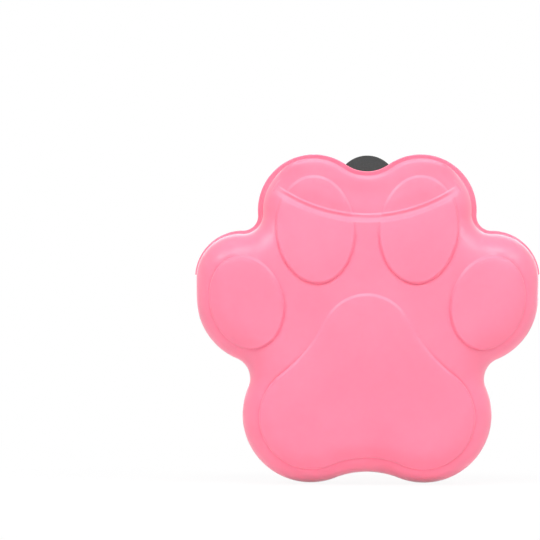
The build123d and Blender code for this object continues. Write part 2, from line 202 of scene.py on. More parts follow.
class Outline:
    """Closed curve of round lobes joined by hollow arcs or straight lines, held as close samples."""

    spacing: float = 0.15

    def __init__(self, lobes: Sequence[Lobe], joins: Sequence[float | None]) -> None:
        """Samples the curve.

        Args:
            lobes: Lobes in anticlockwise order.
            joins: Radius of the hollow after each lobe, or None for a straight line.
        """
        pairs = zip(lobes, [*lobes[1:], lobes[0]], joins)
        touches = [self._touch(first, second, join) for first, second, join in pairs]
        pieces: list[tuple[Points, Points]] = []
        for k, lobe in enumerate(lobes):
            start, end, middle = touches[k]
            pieces.append(self._arc(lobe.center, touches[k - 1][1], start, 1))
            if middle is None:
                pieces.append(self._line(start, end))
            else:
                pieces.append(self._arc(middle, start, end, -1))
        self.points = np.concatenate([p for p, _ in pieces])
        self.normals = np.concatenate([n for _, n in pieces])
        self.tree = tree_of(self.points)

    @staticmethod
    def _touch(first: Lobe, second: Lobe, radius: float | None) -> tuple[Points, Points, Points | None]:
        """Points where two lobes meet their join, and the join's centre.

        Args:
            first: Lobe before the join.
            second: Lobe after it.
            radius: Radius of the hollow, or None for a straight line.

        Returns:
            Start and end of the join, and its centre, or None for a line.
        """
        gap = second.center - first.center
        reach = float(np.linalg.norm(gap))
        along = gap / reach
        aside = np.array([along[1], -along[0]])
        if radius is None:
            lean = (first.radius - second.radius) / reach
            normal = along * lean + aside * math.sqrt(1.0 - lean * lean)
            return first.center + normal * first.radius, second.center + normal * second.radius, None
        a, b = first.radius + radius, second.radius + radius
        run = (a * a - b * b + reach * reach) / (2.0 * reach)
        middle = first.center + along * run + aside * math.sqrt(a * a - run * run)
        start = first.center + (middle - first.center) * (first.radius / a)
        end = second.center + (middle - second.center) * (second.radius / b)
        return start, end, middle

    def _arc(self, center: Points, start: Points, end: Points, turn: int) -> tuple[Points, Points]:
        """Samples of an arc without its end, and their outward normals.

        Args:
            center: Centre of the arc.
            start: First point.
            end: Last point.
            turn: 1 for anticlockwise, -1 for clockwise.

        Returns:
            The samples and their normals.
        """
        radius = float(np.linalg.norm(start - center))
        first = math.atan2(start[1] - center[1], start[0] - center[0])
        last = math.atan2(end[1] - center[1], end[0] - center[0])
        sweep = turn * ((turn * (last - first)) % (2.0 * math.pi))
        count = max(2, math.ceil(abs(sweep) * radius / self.spacing))
        angles = first + sweep * np.arange(count) / count
        radial = np.stack([np.cos(angles), np.sin(angles)], axis=1)
        return center + radius * radial, turn * radial

    def _line(self, start: Points, end: Points) -> tuple[Points, Points]:
        """Samples of a straight line without its end, and their outward normals.

        Args:
            start: First point.
            end: Last point.

        Returns:
            The samples and their normals.
        """
        gap = end - start
        count = max(2, math.ceil(float(np.linalg.norm(gap)) / self.spacing))
        share = (np.arange(count) / count)[:, None]
        normal = np.array([gap[1], -gap[0]]) / np.linalg.norm(gap)
        return start + gap * share, np.repeat(normal[None, :], count, axis=0)

    def nearest(self, points: Points) -> Points:
        """Index of the sample nearest to each point."""
        return np.array([self.tree.find((x, y, 0.0))[1] for x, y in points], int)

    def depth(self, points: Points) -> Points:
        """Distance of each point inside the curve, negative outside it."""
        index = self.nearest(points)
        return np.einsum("ij,ij->i", self.points[index] - points, self.normals[index])

    def ring(self, inset: float, spacing: float) -> Points:
        """Points of the curve moved inwards by inset, at about this spacing."""
        step = max(1, round(spacing / self.spacing))
        return self.points[::step] - inset * self.normals[::step]


def turn_by(points: Points, degrees: float) -> Points:
    """Plane points turned anticlockwise about the origin.

    Args:
        points: The points.
        degrees: How far they turn.

    Returns:
        The turned points.
    """
    cos, sin = math.cos(math.radians(degrees)), math.sin(math.radians(degrees))
    x, y = points[:, 0], points[:, 1]
    return np.stack([x * cos - y * sin, x * sin + y * cos], axis=1)


@dataclass(frozen=True)
class Oval:
    """Leaning ellipse."""

    x: float
    y: float
    across: float
    up: float
    lean: float

    def depth(self, points: Points) -> Points:
        """Distance of each point inside the ellipse, near its edge, and negative outside it.

        Args:
            points: Plane points.

        Returns:
            The distances.
        """
        local = turn_by(points - np.array([self.x, self.y]), self.lean)
        axes = np.array([self.across, self.up])
        level = np.linalg.norm(local / axes, axis=1)
        slope = np.linalg.norm(local / axes**2, axis=1)
        return level * (1.0 - level) / np.maximum(slope, 1e-6)

    def ring(self, inset: float, spacing: float) -> Points:
        """Points of the ellipse moved inwards by inset, at about this spacing.

        Args:
            inset: How far inwards.
            spacing: Distance between neighbours.

        Returns:
            The points, in order.
        """
        count = math.ceil(math.pi * (self.across + self.up) / spacing)
        angles = 2.0 * math.pi * np.arange(count) / count
        local = np.stack([self.across * np.cos(angles), self.up * np.sin(angles)], axis=1)
        normal = np.stack([self.up * np.cos(angles), self.across * np.sin(angles)], axis=1)
        local -= inset * normal / np.linalg.norm(normal, axis=1, keepdims=True)
        return turn_by(local, -self.lean) + np.array([self.x, self.y])


def circle(x: float, y: float, radius: float, count: int) -> Points:
    """Points round a circle."""
    angles = 2.0 * math.pi * np.arange(count) / count
    return np.array([x, y]) + radius * np.stack([np.cos(angles), np.sin(angles)], axis=1)


@dataclass
class Curve:
    """Points that a triangulation has to follow. A closed curve's last point is joined to its first."""

    points: Points
    closed: bool = True
    kept: Points | None = None

    def edges(self, start: int) -> list[tuple[int, int]]:
        """Edges between neighbours that are both kept.

        Args:
            start: Index of the curve's first point in the whole list.

        Returns:
            Pairs of indices.
        """
        count = len(self.points)
        kept = np.ones(count, bool) if self.kept is None else self.kept
        pairs = [(k, (k + 1) % count) for k in range(count if self.closed else count - 1)]
        return [(start + a, start + b) for a, b in pairs if kept[a] and kept[b]]


@dataclass
class Patch:
    """Flat triangulation: its points, triangles and boundary loops."""

    points: Points
    triangles: Points
    loops: list[list[int]]


def honeycomb(low: Points, high: Points, spacing: float) -> Points:
    """Points of an even three-way grid over a box.

    Args:
        low: Lower left corner.
        high: Upper right corner.
        spacing: Distance between neighbours.

    Returns:
        The points.
    """
    rise = spacing * math.sqrt(3.0) / 2.0
    rows = np.arange(low[1], high[1], rise)
    columns = np.arange(low[0], high[0], spacing)
    shifts = [(k % 2) * spacing / 2.0 for k in range(len(rows))]
    grid = [np.stack([columns + x, np.full(len(columns), y)], 1) for x, y in zip(shifts, rows)]
    return np.concatenate(grid)


def boundary_loops(triangles: Points) -> list[list[int]]:
    """Chains the edges that only one triangle has.

    Args:
        triangles: Triangles, all wound the same way.

    Returns:
        Closed loops of vertex indices, the longest first.
    """
    sides = np.concatenate([triangles[:, [0, 1]], triangles[:, [1, 2]], triangles[:, [2, 0]]])
    known = {(int(a), int(b)) for a, b in sides}
    following = {a: b for a, b in known if (b, a) not in known}
    loops = []
    while following:
        start, here = following.popitem()
        loop = [start]
        while here != start:
            loop.append(here)
            here = following.pop(here)
        loops.append(loop)
    return sorted(loops, key=len, reverse=True)


def triangulate(curves: Sequence[Curve], fill: Points, inside: Callable[[Points], Points]) -> Patch:
    """Triangulates a flat region that follows curves.

    Args:
        curves: Curves that the triangles' edges follow.
        fill: Further points inside the region.
        inside: Says which points lie in the region.

    Returns:
        The triangles whose middles lie in the region.
    """
    edges: list[tuple[int, int]] = []
    count = 0
    for curve in curves:
        edges += curve.edges(count)
        count += len(curve.points)
    flat = np.concatenate([*(curve.points for curve in curves), fill])
    found = delaunay_2d_cdt([Vector(p) for p in flat], edges, [], 0, 1e-4, False)
    placed = np.array([tuple(v) for v in found[0]])
    triangles = np.array([tuple(f) for f in found[2]], int)
    corners = placed[triangles]
    first, second = corners[:, 1] - corners[:, 0], corners[:, 2] - corners[:, 0]
    area = first[:, 0] * second[:, 1] - first[:, 1] * second[:, 0]
    triangles[area < 0] = triangles[area < 0][:, ::-1]
    triangles = triangles[inside(corners.mean(axis=1)) & (np.abs(area) > 1e-9)]
    return Patch(placed, triangles, boundary_loops(triangles))


def away_from(fill: Points, curves: Sequence[Curve], least: float) -> Points:
    """Drops the fill points that lie nearer than least to a curve's points."""
    tree = tree_of(np.concatenate([c.points for c in curves]))
    return fill[np.array([tree.find((x, y, 0.0))[2] > least for x, y in fill])]


# The moulded silicone


@dataclass(frozen=True)
class PouchSizes:
    """Sizes of the silicone moulding, in millimetres: the part's own, and those of its finer shape."""

    # The moulding, and where the paw's plane stands
    half_depth: float = 18.0
    wall: float = 2.0
    edge_radius: float = 12.0
    crown: float = 0.8
    crown_reach: float = 18.0
    face_lean: float = 1.5
    lean_reach: float = 22.0
    middle_y: float = -20.9
    paw_drop: float = 34.0

    # Raised pads, and the groove at their feet
    pad_rise: float = 0.7
    pad_edge: float = 1.3
    pad_edge_low: float = 0.85
    pad_turn: float = 14.0
    pad_groove: float = 0.3
    groove_half: float = 0.6
    groove_beside: Fade = Fade(44.0, 6.0)
    toe_pad_up: float = 8.0
    toe_pad_start: Fade = Fade(1.8, 1.6)
    toe_pad_full: Fade = Fade(3.0, 7.0)
    toe_pad_low: float = 0.45
    lip_pad_start: Fade = Fade(-0.75, 1.3)
    lip_pad_full: Fade = Fade(0.0, 6.0)
    lip_pad_low: float = 0.4
    main_pad_middle: float = -20.0
    seat_middle: float = 11.0

    # Flange and mouth
    notch_height: float = 15.0
    slit: float = 0.3
    flange: float = 1.8
    flange_edge: float = 0.4
    flange_root: float = 0.45
    flange_swell: float = 0.7
    flange_dish: float = 0.25
    flange_least: float = 0.3
    flange_root_share: float = 0.55
    flange_edge_share: float = 0.4
    flange_lip: Fade = Fade(42.0, 8.0)
    mouth_edge: float = 0.25
    mouth_bend: float = 0.08

    # Crease: a soft rim, then a fine bead
    crease_low: float = 36.2
    crease_radius: float = 56.2
    rim_fall: float = 1.0
    rim_middle: float = -1.8
    rim_width: float = 1.9
    bead_rise: float = 0.15
    bead_start: Fade = Fade(-0.8, 0.95)
    bead_fall: float = 0.4
    bead_end: Fade = Fade(0.1, 0.75)
    crease_whole: Fade = Fade(1.0, 8.0)

    # Folded lips
    lip_apart: Fade = Fade(0.0, 12.0)
    shelf: Fade = Fade(-2.3, 0.4)
    throat_half: float = 11.7
    lip_falls: Span = (0.9, 8.5)
    lip_rise: float = 16.0
    lip_shoulder: float = 1.6
    lip_shoulder_fall: float = 1.0
    lip_wall_share: float = 1.08
    lip_inner_edge: float = 1.2

    # Magnets, their plugs and the bosses round them
    boss_radius: float = 7.4
    magnet_x: float = 19.4
    magnet_y: float = 48.6
    magnet_radius: float = 5.0
    magnet_height: float = 2.0
    cap_radius: float = 6.0
    cap_height: float = 1.0
    pocket_gap: float = 0.05

    # Raised seat of the clip, with dimples beside its screws
    seat_half_width: float = 12.9
    seat_low: float = -11.9
    seat_high: float = 34.4
    seat_corner: float = 3.6
    screw_rows: Span = (28.0, 2.0)
    post_hole: float = 3.65
    dimple_depth: float = 1.3
    dimple_reach: float = 9.0
    dimple_start: Fade = Fade(-0.8, 1.6)

    @property
    def crease_center_y(self) -> float:
        """Height of the crease arc's centre."""
        return self.crease_low + self.crease_radius


@dataclass
class PouchHalf:
    """Front or back half of the silicone moulding: wall, folded lip and flange as one closed shell."""

    side: Side
    sizes: PouchSizes = field(default_factory=PouchSizes)

    # Where the shell's rows of points lie, and how close they are
    fine: float = 0.8
    coarse: float = 2.0
    bend_heights: Span = (33.5, 42.5)
    round_angles: tuple[float, ...] = (6, 12, 18, 25, 32, 40)
    inner_angles: tuple[float, ...] = (10, 20, 32, 45)
    crease_rows: tuple[float, float, float] = (-3.3, 1.4, 0.19)
    shelf_rows: tuple[float, ...] = (-2.3, -2.1, -1.9)
    pad_rows: tuple[float, ...] = (-1.0, -0.8, -0.6, -0.42, -0.25, -0.08, 0.12, 0.35, 0.65)
    seat_rows: tuple[float, ...] = (-0.6, -0.3, -0.1, 0.1, 0.3, 0.6)
    toe_rows_top: float = -1.7
    lip_rows_low: float = -0.5
    arc_half: float = 0.75
    post_margin: float = 1.0
    hole_sides: int = 32
    boss_sides: int = 40

    def __post_init__(self) -> None:
        """Draws the outlines that the shell follows."""
        low = [Lobe(20.4, -35.4, 24.6), Lobe(37.8, 6.7, 23.9)]
        self.bulge = self._paw([*low, Lobe(45.85, 13.8, 15.95), Lobe(19.4, 38.5, 18.3)], 7.4, 15.1)
        self.paw = self._paw([*low, Lobe(45.2, 13.8, 17.3), Lobe(19.4, 38.5, 20.3)], 5.4, 13.1)
        pads = [Lobe(20.0, -36.1, 18.4), Lobe(0.0, -8.4, 16.1), Lobe(-20.0, -36.1, 18.4)]
        self.main_pad = Outline(pads, [55.0, 55.0, 31.0])
        self.toe_pads = [Oval(s * 18.5, 31.5, 13.95, 19.6, s * 5.0) for s in (1, -1)]
        self.lip_pads = [Oval(s * 18.5, 31.5, 13.68, 18.7, s * 5.0) for s in (1, -1)]
        self.side_pads = [Oval(s * 43.2, 4.9, 12.9, 16.8, s * 16.5) for s in (1, -1)]

    @staticmethod
    def _paw(right: Sequence[Lobe], notch: float, valley: float) -> Outline:
        """Whole outline from its right-hand lobes, listed upwards, and two of its hollows.

        Args:
            right: The lobes.
            notch: Radius of the hollow under the upper toe.
            valley: Radius of the hollow between the upper toes.

        Returns:
            The closed outline.
        """
        rising = [7.7, None, notch]
        lobes = [*right, *(lobe.twin() for lobe in reversed(right))]
        return Outline(lobes, [*rising, valley, *reversed(rising), 31.0])

    def _above_crease(self, points: Points) -> Points:
        """Distance of each point above the crease arc, negative below it."""
        s = self.sizes
        return s.crease_radius - np.hypot(points[:, 0], points[:, 1] - s.crease_center_y)

    def _crease_arc(self, rise: float, spacing: float, inset: float) -> Curve:
        """Arc beside the crease, cut off just past a ring of the rounding's outline.

        Args:
            rise: Distance above the crease.
            spacing: Distance between its points.
            inset: How far inside the outline the arc ends.

        Returns:
            The open curve.
        """
        radius = self.sizes.crease_radius - rise
        angles = np.arange(-self.arc_half, self.arc_half, spacing / radius)
        x, y = radius * np.sin(angles), self.sizes.crease_center_y - radius * np.cos(angles)
        points = np.stack([x, y], axis=1)
        reach = self.bulge.depth(points) > inset - spacing
        return Curve(points[reach], closed=False)

    def _seat(self, points: Points) -> Points:
        """Distance of each point inside the clip plate's raised seat, negative outside it.

        Args:
            points: Points in the paw's plane.

        Returns:
            The distances.
        """
        s = self.sizes
        middle, tall = (s.seat_low + s.seat_high) / 2.0, (s.seat_high - s.seat_low) / 2.0
        x = np.abs(points[:, 0]) - (s.seat_half_width - s.seat_corner)
        y = np.abs(points[:, 1] - middle) - (tall - s.seat_corner)
        outside = np.hypot(np.maximum(x, 0.0), np.maximum(y, 0.0)) + np.minimum(np.maximum(x, y), 0.0)
        return s.seat_corner - outside

    def relief(self, points: Points) -> Points:
        """Share of the pads' rise at each point, with dimples below zero beside the clip plate.

        Args:
            points: Points in the paw's plane.

        Returns:
            The shares.
        """
        s = self.sizes
        above = self._above_crease(points)
        full = s.toe_pad_low + (1.0 - s.toe_pad_low) * s.toe_pad_full.soft(-above)
        below_rim = s.toe_pad_start.soft(-above) * full
        full = (1.0 - s.lip_pad_low) * s.lip_pad_full.soft(above)
        on_lip = s.lip_pad_low * s.lip_pad_start.soft(above) + full
        even = np.ones(len(points))
        pads = [(self.main_pad.depth(points), s.main_pad_middle, even)]
        pads += [(pad.depth(points), pad.y, even) for pad in self.side_pads]
        pads += [(pad.depth(points), pad.y + s.toe_pad_up, below_rim) for pad in self.toe_pads]
        pads += [(pad.depth(points), pad.y, on_lip) for pad in self.lip_pads]
        share = np.zeros(len(points))
        groove = np.zeros(len(points))
        for depth, middle, where in pads:
            share = np.maximum(share, where * self._edge(points, depth, middle))
            groove = np.maximum(groove, where * self._foot(points, depth, middle))
        share = share - groove
        if self.side is Side.BACK:
            share = np.maximum(share, self._edge(points, self._seat(points), s.seat_middle))
            out = np.abs(points[:, 0]) - s.seat_half_width
            for row in s.screw_rows:
                reach = np.hypot(np.maximum(out, 0.0), points[:, 1] - row) / s.dimple_reach
                pull = (1.0 - smooth(reach)) * s.dimple_start.soft(out)
                share = share - pull * s.dimple_depth / s.pad_rise
        return share

    def _edge(self, points: Points, depth: Points, middle: float) -> Points:
        """Sloping edge of a pad, wide on its upper side and narrower on its lower side.

        Args:
            points: Points on the face.
            depth: Their distance inside the pad's outline.
            middle: Height of the pad's middle.

        Returns:
            Share of the rise at each point.
        """
        s = self.sizes
        upper = smooth((points[:, 1] - middle) / s.pad_turn + 0.5)
        return ramp(depth / (s.pad_edge_low + (s.pad_edge - s.pad_edge_low) * upper) + 0.5)

    def _foot(self, points: Points, depth: Points, middle: float) -> Points:
        """Fine groove along the foot of a pad's edge, on its sides and its lower side.

        Args:
            points: Points on the face.
            depth: Their distance inside the pad's outline.
            middle: Height of the pad's middle.

        Returns:
            Share of the rise by which the groove lies lower.
        """
        s = self.sizes
        beside = s.groove_beside.soft(np.abs(points[:, 0]))
        lower = 1.0 - smooth((points[:, 1] - middle) / s.pad_turn - beside)
        across = 1.0 - np.clip(np.abs(depth + s.pad_edge_low / 2.0) / s.groove_half, 0.0, 1.0)
        return s.pad_groove / s.pad_rise * lower * smooth(across)

    def outer_height(self, points: Points) -> Points:
        """Depth of the outer face from the middle of the pouch, before its relief.

        Args:
            points: Points in the paw's plane.

        Returns:
            The depth at each.
        """
        s = self.sizes
        depth = np.maximum(self.bulge.depth(points), 0.0)
        above = self._above_crease(points)
        edge = s.edge_radius - np.minimum(depth, s.edge_radius)
        body = s.half_depth - s.edge_radius + np.sqrt(s.edge_radius**2 - edge**2)
        body = body - s.crown * (1.0 - smooth(depth / s.crown_reach))
        body = body - self._lean(above)
        whole = s.crease_whole.soft(depth)
        rim = s.rim_fall * ramp((above - s.rim_middle) / s.rim_width + 0.5)
        bead = s.bead_rise * s.bead_start.straight(above)
        fold = s.bead_fall * s.bead_end.straight(above)
        low = body - (rim - bead + fold) * whole
        lip = self._panel(points) + (s.bead_fall - fold) * whole
        lip = lip - s.lip_shoulder_fall * (1.0 - ramp(depth / s.lip_shoulder))
        apart = np.where(lip > low, s.lip_apart.soft(above), 1.0)
        return np.where(above < 0.0, low, low + (lip - low) * apart)

    def _lean(self, above: Points) -> Points:
        """How far the front wall leans back near its crease."""
        share = np.clip(above / self.sizes.lean_reach + 1.0, 0.0, 1.0) ** 2
        return self.sizes.face_lean * share * (self.side is Side.FRONT)

    def _panel(self, points: Points) -> Points:
        """Depth of the lip's panel, which leans back towards its top.

        Args:
            points: Points in the paw's plane.

        Returns:
            The depth at each.
        """
        s = self.sizes
        above = np.maximum(self._above_crease(points), 0.0)
        fall = s.lip_falls[0 if self.side is Side.FRONT else 1] * above / s.lip_rise
        return s.half_depth - self._lean(above) - s.rim_fall + s.bead_rise - s.bead_fall - fall

    def inner_height(self, points: Points) -> Points:
        """Depth of the inner face from the middle of the pouch, bosses and pockets included.

        Args:
            points: Points in the paw's plane.

        Returns:
            The depth at each.
        """
        s = self.sizes
        depth = np.maximum(self.bulge.depth(points) - s.wall, 0.0)
        above = self._above_crease(points)
        radius = s.edge_radius - s.wall
        edge = radius - np.minimum(depth, radius)
        body = s.half_depth - s.edge_radius + np.sqrt(radius**2 - edge**2) - self._lean(above)
        panel = self._panel(points) - s.wall * s.lip_wall_share
        radius = s.lip_inner_edge
        edge = radius - np.minimum(depth, radius)
        lip = np.minimum(panel, s.throat_half) - radius + np.sqrt(radius**2 - edge**2)
        height = body + (lip - body) * s.shelf.soft(above)
        floor = s.slit / 2.0
        cap_floor = floor + s.cap_height + s.pocket_gap
        magnet_floor = cap_floor + s.magnet_height + s.pocket_gap
        for sign in (1, -1):
            out = np.hypot(points[:, 0] - sign * s.magnet_x, points[:, 1] - s.magnet_y)
            steps = [(s.boss_radius, floor), (s.cap_radius, cap_floor), (s.magnet_radius, magnet_floor)]
            for radius, level in steps:
                height = np.where(out < radius + s.pocket_gap, level, height)
        return height

    def _outward(self, points: Points) -> Points:
        """Direction in which the outer face's relief stands up, across, up and in depth.

        Args:
            points: Points in the paw's plane.

        Returns:
            Unit vector for each.
        """
        s = self.sizes
        index = self.bulge.nearest(points)
        normals = self.bulge.normals[index]
        depth = np.einsum("ij,ij->i", self.bulge.points[index] - points, normals)
        aside = 1.0 - np.clip(depth, 0.0, s.edge_radius) / s.edge_radius
        aside = np.where(self._above_crease(points) > s.rim_middle, 0.0, aside)
        return np.column_stack([normals * aside[:, None], np.sqrt(1.0 - aside**2)])

    def _notched(self, ring: Points) -> Points:
        """Adds a close pair of points where a ring crosses the notch's height.

        Args:
            ring: The ring.

        Returns:
            The ring with those points.
        """
        rows: list[Points] = []
        apart = 0.03
        cut = self.sizes.notch_height
        for here, following in zip(ring, np.roll(ring, -1, axis=0)):
            rows.append(here)
            if (here[1] - cut) * (following[1] - cut) < 0:
                share = (cut - here[1]) / (following[1] - here[1])
                middle = here + (following - here) * share
                step = (following - here) / np.linalg.norm(following - here) * apart
                rows += [middle - step, middle + step]
        return np.array(rows)

    def _outer_patch(self) -> Patch:
        """Triangulates the outer face, close along the rounding, the crease and the pads' edges.

        Returns:
            The triangles.
        """
        s = self.sizes
        curves = [Curve(self._notched(self.bulge.ring(0.0, self.fine)))]
        for angle in self.round_angles:
            inset = s.edge_radius * (1.0 - math.cos(math.radians(angle)))
            curves.append(Curve(self.bulge.ring(inset, self.fine)))
        curves += [self._crease_arc(rise, self.fine, 0.0) for rise in np.arange(*self.crease_rows)]
        for offset in self.pad_rows:
            ring = self.main_pad.ring(offset, self.fine)
            curves.append(self._trimmed(ring, self._clear_of_posts(ring, self.post_margin)))
            curves += [Curve(pad.ring(offset, self.fine)) for pad in self.side_pads]
            for pad in self.toe_pads:
                ring = pad.ring(offset, self.fine)
                low = self._above_crease(ring) < self.toe_rows_top
                curves.append(self._trimmed(ring, low & self._clear_of_posts(ring, self.post_margin)))
            for pad in self.lip_pads:
                ring = pad.ring(offset, self.fine)
                curves.append(self._trimmed(ring, self._above_crease(ring) > self.lip_rows_low))
        curves += [Curve(hole) for hole in self._post_holes()]
        for inset in self.seat_rows if self.side is Side.BACK else ():
            width, low, high = s.seat_half_width - inset, s.seat_low + inset, s.seat_high - inset
            curves.append(Curve(np.array([[width, high], [-width, high], [-width, low], [width, low]])))
        return self._region(curves, spacing=1.35, depth=3.3, least=0.75)

    @staticmethod
    def _trimmed(ring: Points, kept: Points) -> Curve:
        """Closed curve whose points that aren't kept move onto kept ones, so that they add nothing.

        Args:
            ring: Points of the curve.
            kept: Says which are kept.

        Returns:
            The curve.
        """
        last = np.maximum.accumulate(np.where(kept, np.arange(len(kept)), -1))
        last[last < 0] = np.flatnonzero(kept)[-1]
        return Curve(ring[last], kept=kept)

    def _post_holes(self, margin: float = 0.0) -> list[Points]:
        """Circles round the back half's holes for the clip's posts, wider by a margin."""
        rows = self.sizes.screw_rows if self.side is Side.BACK else ()
        return [circle(0.0, row, self.sizes.post_hole + margin, self.hole_sides) for row in rows]

    def _clear_of_posts(self, points: Points, margin: float = 0.0) -> Points:
        """Says which points lie outside the holes for the clip's posts, by a margin.

        Args:
            points: Points in the paw's plane.
            margin: Least distance outside.

        Returns:
            True for each such point.
        """
        clear = np.ones(len(points), bool)
        for hole in self._post_holes(margin):
            clear &= ~within(points, hole)
        return clear

    def _region(self, curves: list[Curve], spacing: float, depth: float, least: float) -> Patch:
        """Triangulates a face inside its first curve.

        Args:
            curves: Curves to follow, the edge first.
            spacing: Distance between the further points.
            depth: How far inside the rounding's outline those lie.
            least: Their least distance from the curves.

        Returns:
            The triangles.
        """
        rim = curves[0].points
        fill = honeycomb(rim.min(0), rim.max(0), spacing)
        fill = fill[within(fill, rim)]
        fill = away_from(fill[self.bulge.depth(fill) > depth], curves, least)
        return triangulate(curves, fill, lambda p: within(p, rim) & self._clear_of_posts(p))

    def _inner_patch(self) -> Patch:
        """Triangulates the inner face, close along the fold and round the magnets' bosses.

        Returns:
            The triangles.
        """
        s = self.sizes
        radius = s.edge_radius - s.wall
        spacing = self.fine * 1.5
        curves = [Curve(self._notched(self.bulge.ring(s.wall, spacing)))]
        for angle in self.inner_angles:
            inset = s.wall + radius * (1.0 - math.cos(math.radians(angle)))
            curves.append(Curve(self.bulge.ring(inset, spacing)))
        curves += [self._crease_arc(rise, spacing, s.wall) for rise in self.shelf_rows]
        steps = [(s.magnet_radius, 0.1), (s.cap_radius, 0.1), (s.boss_radius, 0.15)]
        for sign in (1, -1):
            for ring in (r for radius, gap in steps for r in (radius, radius + gap)):
                curves.append(Curve(circle(sign * s.magnet_x, s.magnet_y, ring, self.boss_sides)))
        curves += [Curve(hole) for hole in self._post_holes()]
        return self._region(curves, spacing=self.coarse, depth=s.wall + 3.2, least=0.6 * self.coarse)

    def _place(self, flat: Points, height: Points) -> Points:
        """Points in the row frame, in metres, from the paw's own plane and a depth.

        Args:
            flat: Points in the paw's plane.
            height: Depth of each from the middle of the pouch.

        Returns:
            The places.
        """
        s = self.sizes
        y = s.middle_y - self.side.sign * height
        return MM * np.column_stack([flat[:, 0], y, flat[:, 1] - s.paw_drop])

    def _mouth(self, height: Points) -> Points:
        """Depth of the mouth's face: half the slit above the notches, nothing below them."""
        return np.where(height > self.sizes.notch_height, self.sizes.slit / 2.0, 0.0)

    def _outer_rows(self, flat: Points, top: Points) -> list[tuple[Points, Points]]:
        """Side wall and flange from the outer face's edge to the mouth.

        Args:
            flat: Edge points in the paw's plane.
            top: Depth of the outer face at each.

        Returns:
            Rows of plane points and depths.
        """
        s = self.sizes
        normals = self.bulge.normals[self.bulge.nearest(flat)]
        mouth = self._mouth(flat[:, 1])
        flanged = mouth > 0.0
        width = np.where(flanged, np.maximum(self.paw.depth(flat), s.flange_least), 0.0)
        lip = s.flange_lip.soft(flat[:, 1])
        root = np.minimum(s.flange_root + s.flange_swell * (1.0 - lip), s.flange_root_share * width)
        edge = np.minimum(s.flange_edge, s.flange_edge_share * width)
        dish = s.flange_dish * np.minimum(1.0, width / 2.0) * lip
        floor = s.slit / 2.0 + 0.0 * width
        inner, outer = floor + s.flange - dish, floor + s.flange + dish
        bend = 1.0 - math.sqrt(0.5)
        steps = [
            (0.0 * width, (floor + s.flange + root + top) / 2.0),
            (0.0 * width, inner + root),
            (root * bend, inner + root * bend),
            (root, inner),
            (width - edge, outer),
            (width - edge * bend, outer - edge * bend),
            (width, outer - edge),
            (width, floor + s.mouth_edge),
            (width - s.mouth_bend * flanged, floor + s.mouth_bend),
            (width - s.mouth_edge * flanged, floor),
        ]
        rows = []
        for k, (aside, height) in enumerate(steps):
            plain = top * (1.0 - (k + 1) / len(steps))
            rows.append((flat + normals * aside[:, None], np.where(flanged, height, plain)))
        return rows

    def build(self) -> Piece:
        """Builds the half as one closed mesh with its relief as attributes.

        Returns:
            The new object.
        """
        shell = ShellMesh()
        outer, inner = self._outer_patch(), self._inner_patch()
        outer_height, inner_height = self.outer_height(outer.points), self.inner_height(inner.points)
        relief, outward = self.relief(outer.points), self._outward(outer.points)
        lift = np.column_stack([outward[:, 0], -self.side.sign * outward[:, 2], outward[:, 1]])
        start = shell.add(self._place(outer.points, outer_height), relief, lift)
        shell.cover(start + outer.triangles)
        rim = outer.loops[0]
        rows = self._outer_rows(outer.points[rim], outer_height[rim])
        ring = [start + k for k in rim]
        for flat, height in rows:
            ring = shell.extend(ring, self._place(flat, height))
        start = shell.add(self._place(inner.points, inner_height))
        shell.cover(start + inner.triangles)
        throat = inner.loops[0]
        base = inner.points[throat]
        shell.extend([start + k for k in throat], self._place(base, self._mouth(base[:, 1])))
        edge = rows[-1][0]
        ways = [Curve(edge), Curve(base)]
        face = triangulate(ways, base[:0], lambda p: within(p, edge) & ~within(p, base))
        start = shell.add(self._place(face.points, self._mouth(face.points[:, 1])))
        shell.cover(start + face.triangles)
        for hole in self._post_holes():
            lift = np.tile([0.0, -float(self.side.sign), 0.0], (len(hole), 1))
            first = shell.add(self._place(hole, self.outer_height(hole)), self.relief(hole), lift)
            ring = list(range(first, first + len(hole)))
            shell.extend(ring, self._place(hole, self.inner_height(hole)))
        return shell.finish(f"pouch_{self.side.word}_half")

    def bend(self, piece: Piece) -> None:
        """Bakes the half's place into its mesh and hides the CAD nodes that it stands for.

        Args:
            piece: The finished half.
        """
        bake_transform(piece)
        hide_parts("pouch_body", f"{self.side.word}_lip")


